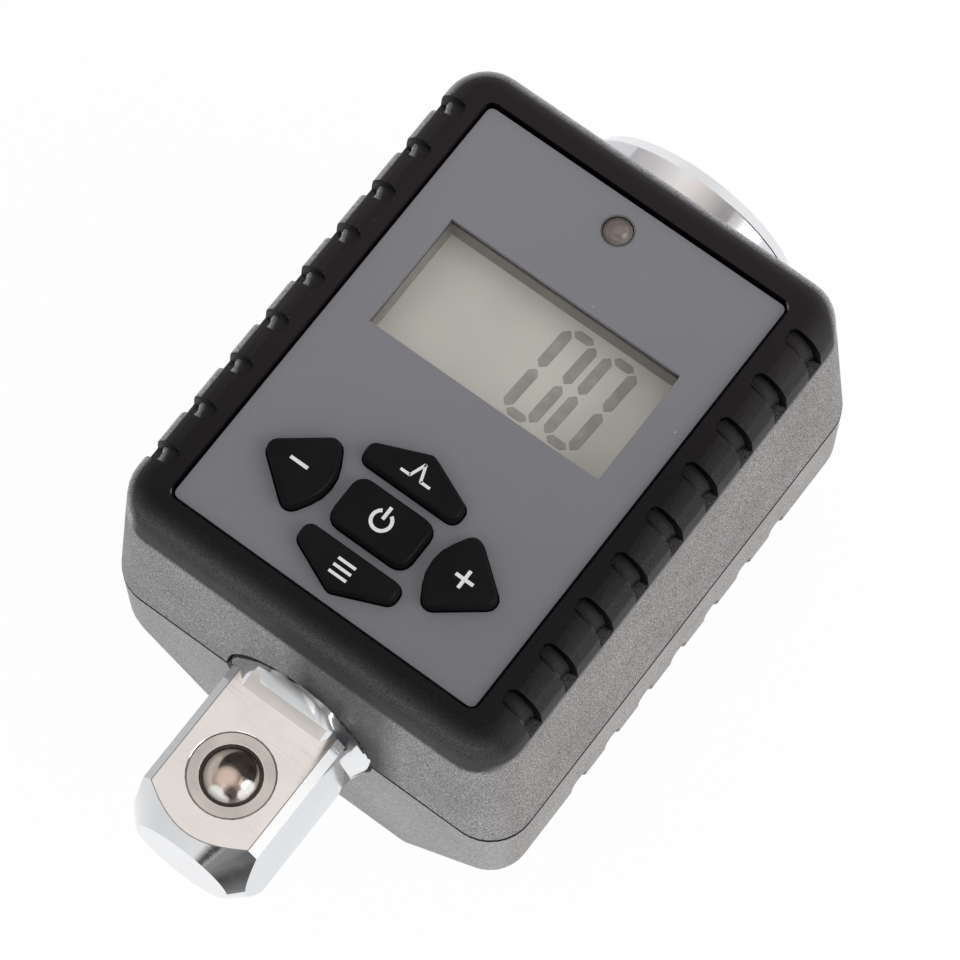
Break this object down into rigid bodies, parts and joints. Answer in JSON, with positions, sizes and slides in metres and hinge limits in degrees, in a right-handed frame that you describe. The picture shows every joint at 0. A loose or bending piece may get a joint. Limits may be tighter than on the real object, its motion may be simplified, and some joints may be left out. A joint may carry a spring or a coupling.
{
  "type": "digital torque adapter",
  "caption": "Square-drive torque adapter with a display and keys in a moulded two-part housing, a sprung detent ball and a sliding battery cover.",
  "frame": {"origin": "middle of the whole part's footprint, on the plane of the housing's flat underside", "axes": "+X across the housing, +Y along the shaft towards the female end, +Z out of the display"},
  "size_m": [0.0456, 0.0784, 0.0446],
  "materials": {
    "housing_plastic": "fine moulded texture, satin",
    "panel_plastic": "flat, fine grain",
    "clear_plastic": "clear, polished",
    "display_glass": "reflective grey liquid crystal",
    "pale_plastic": "plain moulded",
    "black_rubber": "matt",
    "board_laminate": "lacquered",
    "component_black": "moulded",
    "lamp_lens": "translucent, polished",
    "key_plastic": "polished",
    "chromed_steel": "satin to bright chrome plate",
    "bright_steel": "bright, lightly worn",
    "gauge_foil": "bonded film",
    "cell_wrap": "printed sleeve, left bare",
    "wire_insulation": "plain insulation"
  },
  "bodies": {
    "adapter": {"upper_housing": "housing_plastic", "lower_housing": "housing_plastic", "front_panel": "panel_plastic", "window_lens": "clear_plastic", "lcd_frame": "pale_plastic", "lcd_glass": "display_glass", "zebra_strip": "black_rubber", "circuit_board": "board_laminate", "buzzer": "component_black", "controller_chip": "component_black", "status_led": "lamp_lens", "torsion_shaft": "chromed_steel", "detent_spring": "bright_steel", "front_seal": "black_rubber", "rear_seal": "black_rubber", "locating_pin": "bright_steel", "strain_gauge_left": "gauge_foil", "strain_gauge_right": "gauge_foil", "battery_left": "cell_wrap", "battery_right": "cell_wrap", "contact_minus": "bright_steel", "contact_plus": "bright_steel", "contact_bridge": "bright_steel", "contact_spring_front": "bright_steel", "contact_spring_rear": "bright_steel", "battery_lead_minus": "wire_insulation", "battery_lead_plus": "wire_insulation", "gauge_lead_left": "wire_insulation", "gauge_lead_right": "wire_insulation", "dome_power": "bright_steel", "dome_peak_track": "bright_steel", "dome_mode": "bright_steel", "dome_minus": "bright_steel", "dome_plus": "bright_steel", "housing_screw_1": "bright_steel", "housing_screw_2": "bright_steel", "housing_screw_3": "bright_steel", "housing_screw_4": "bright_steel", "board_screw_1": "bright_steel", "board_screw_2": "bright_steel"},
    "key_power": {"key_power": "key_plastic"},
    "key_peak_track": {"key_peak_track": "key_plastic"},
    "key_mode": {"key_mode": "key_plastic"},
    "key_minus": {"key_minus": "key_plastic"},
    "key_plus": {"key_plus": "key_plastic"},
    "detent_ball": {"detent_ball": "bright_steel"},
    "battery_cover": {"battery_cover": "housing_plastic"}
  },
  "joints": [
    {"name": "press_power", "type": "slide", "parent": "adapter", "child": "key_power", "axis": [0, 0, -1], "range_m": [0, 0.0007], "stiffness_N_per_m": 1500, "deforming": ["dome_power"]},
    {"name": "press_peak_track", "type": "slide", "parent": "adapter", "child": "key_peak_track", "axis": [0, 0, -1], "range_m": [0, 0.0007], "stiffness_N_per_m": 1500, "deforming": ["dome_peak_track"]},
    {"name": "press_mode", "type": "slide", "parent": "adapter", "child": "key_mode", "axis": [0, 0, -1], "range_m": [0, 0.0007], "stiffness_N_per_m": 1500, "deforming": ["dome_mode"]},
    {"name": "press_minus", "type": "slide", "parent": "adapter", "child": "key_minus", "axis": [0, 0, -1], "range_m": [0, 0.0007], "stiffness_N_per_m": 1500, "deforming": ["dome_minus"]},
    {"name": "press_plus", "type": "slide", "parent": "adapter", "child": "key_plus", "axis": [0, 0, -1], "range_m": [0, 0.0007], "stiffness_N_per_m": 1500, "deforming": ["dome_plus"]},
    {"name": "detent_press", "type": "slide", "parent": "adapter", "child": "detent_ball", "axis": [0, 0, -1], "range_m": [0, 0.0011], "stiffness_N_per_m": 2500, "deforming": ["detent_spring"]},
    {"name": "cover_slide", "type": "slide", "parent": "adapter", "child": "battery_cover", "axis": [0, 1, 0], "range_m": [0, 0.048]}
  ]
}
